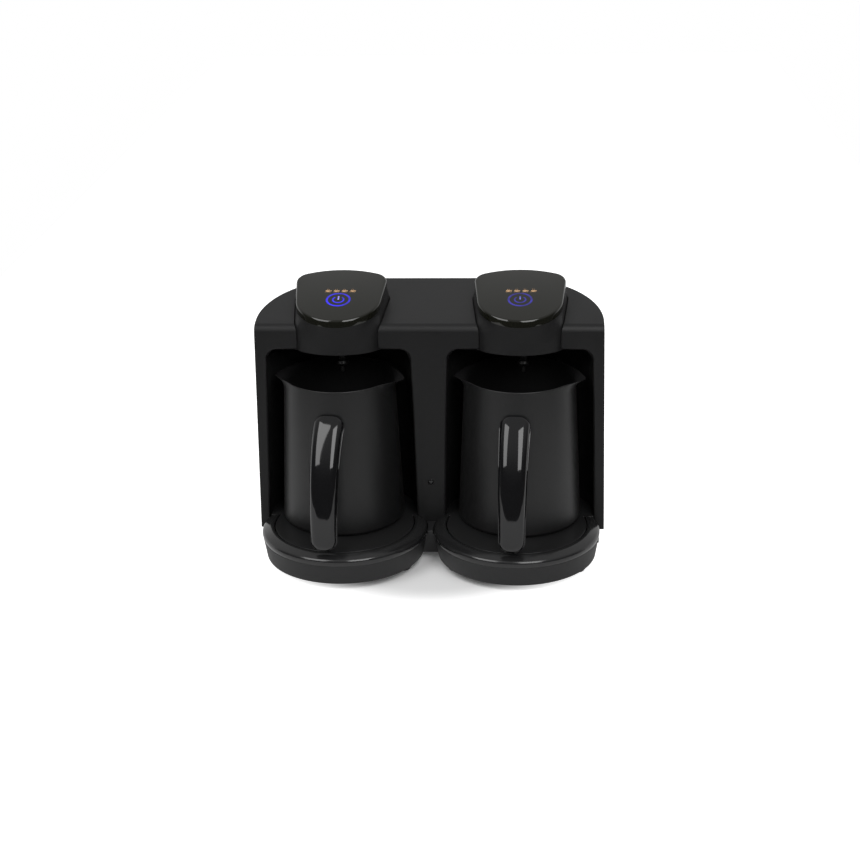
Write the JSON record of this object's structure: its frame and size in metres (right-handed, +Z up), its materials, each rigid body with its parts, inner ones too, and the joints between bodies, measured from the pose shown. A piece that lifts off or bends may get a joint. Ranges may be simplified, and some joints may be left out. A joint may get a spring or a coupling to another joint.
{
  "type": "electric turkish coffee maker",
  "caption": "Electric Turkish coffee maker: wide housing with pot bays, a touch-panel head and probe over each bay, round heated bases, loose spouted pots with hanging handles.",
  "frame": {"origin": "centre of the bounding box on the table plane", "axes": "+Z up, -Y towards the user at the front, +X to the right of the object as the user sees it"},
  "size_m": [0.286, 0.178, 0.2233],
  "materials": {
    "housing": "fine matt grain",
    "liner": "satin",
    "cover": "fine matt grain",
    "base": "fine matt grain",
    "deck": "satin",
    "gloss": "polished",
    "lid": "polished",
    "handle_back": "satin",
    "pot": "matt non-stick coating",
    "plate": "matt coating",
    "aluminium": "turned",
    "steel": "satin",
    "gland": "matt",
    "feet": "matt",
    "board": "circuit board",
    "ceramic": "glazed",
    "light_left": "lit light guide",
    "light_right": "dim light guide"
  },
  "bodies": {
    "machine": {"housing": "housing", "bay_liner_left": "liner", "bay_liner_right": "liner", "rear_cover": "cover", "cord_inlet": "gland", "power_board": "board", "base_tray": "base", "bottom_cover": "cover", "foot_front_left": "feet", "foot_front_right": "feet", "foot_side_left": "feet", "foot_side_right": "feet", "foot_rear_left": "feet", "foot_rear_right": "feet", "base_ring_left": "gloss", "base_ring_right": "gloss", "base_deck_left": "deck", "base_deck_right": "deck", "hot_plate_left": "plate", "hot_plate_right": "plate", "plate_seal_left": "gland", "plate_seal_right": "gland", "heater_left": "steel", "heater_right": "steel", "thermostat_left": "ceramic", "thermostat_right": "ceramic", "head_shell_left": "housing", "head_shell_right": "housing", "head_lid_left": "lid", "head_lid_right": "lid", "light_ring_left": "light_left", "light_ring_right": "light_right", "touch_board_left": "board", "touch_board_right": "board", "head_underside_left": "liner", "head_underside_right": "liner", "probe_left": "steel", "probe_right": "steel", "probe_collar_left": "liner", "probe_collar_right": "liner"},
    "pot_left": {"pot_vessel_left": "pot", "pot_base_left": "aluminium", "handle_bracket_left": "steel", "handle_grip_left": "gloss", "handle_liner_left": "handle_back"},
    "pot_right": {"pot_vessel_right": "pot", "pot_base_right": "aluminium", "handle_bracket_right": "steel", "handle_grip_right": "gloss", "handle_liner_right": "handle_back"}
  },
  "joints": [
    {"name": "pot_left_pull", "type": "slide", "parent": "machine", "child": "pot_left", "axis": [0, -1, 0], "range_m": [0, 0.15]},
    {"name": "pot_right_pull", "type": "slide", "parent": "machine", "child": "pot_right", "axis": [0, -1, 0], "range_m": [0, 0.15]}
  ]
}
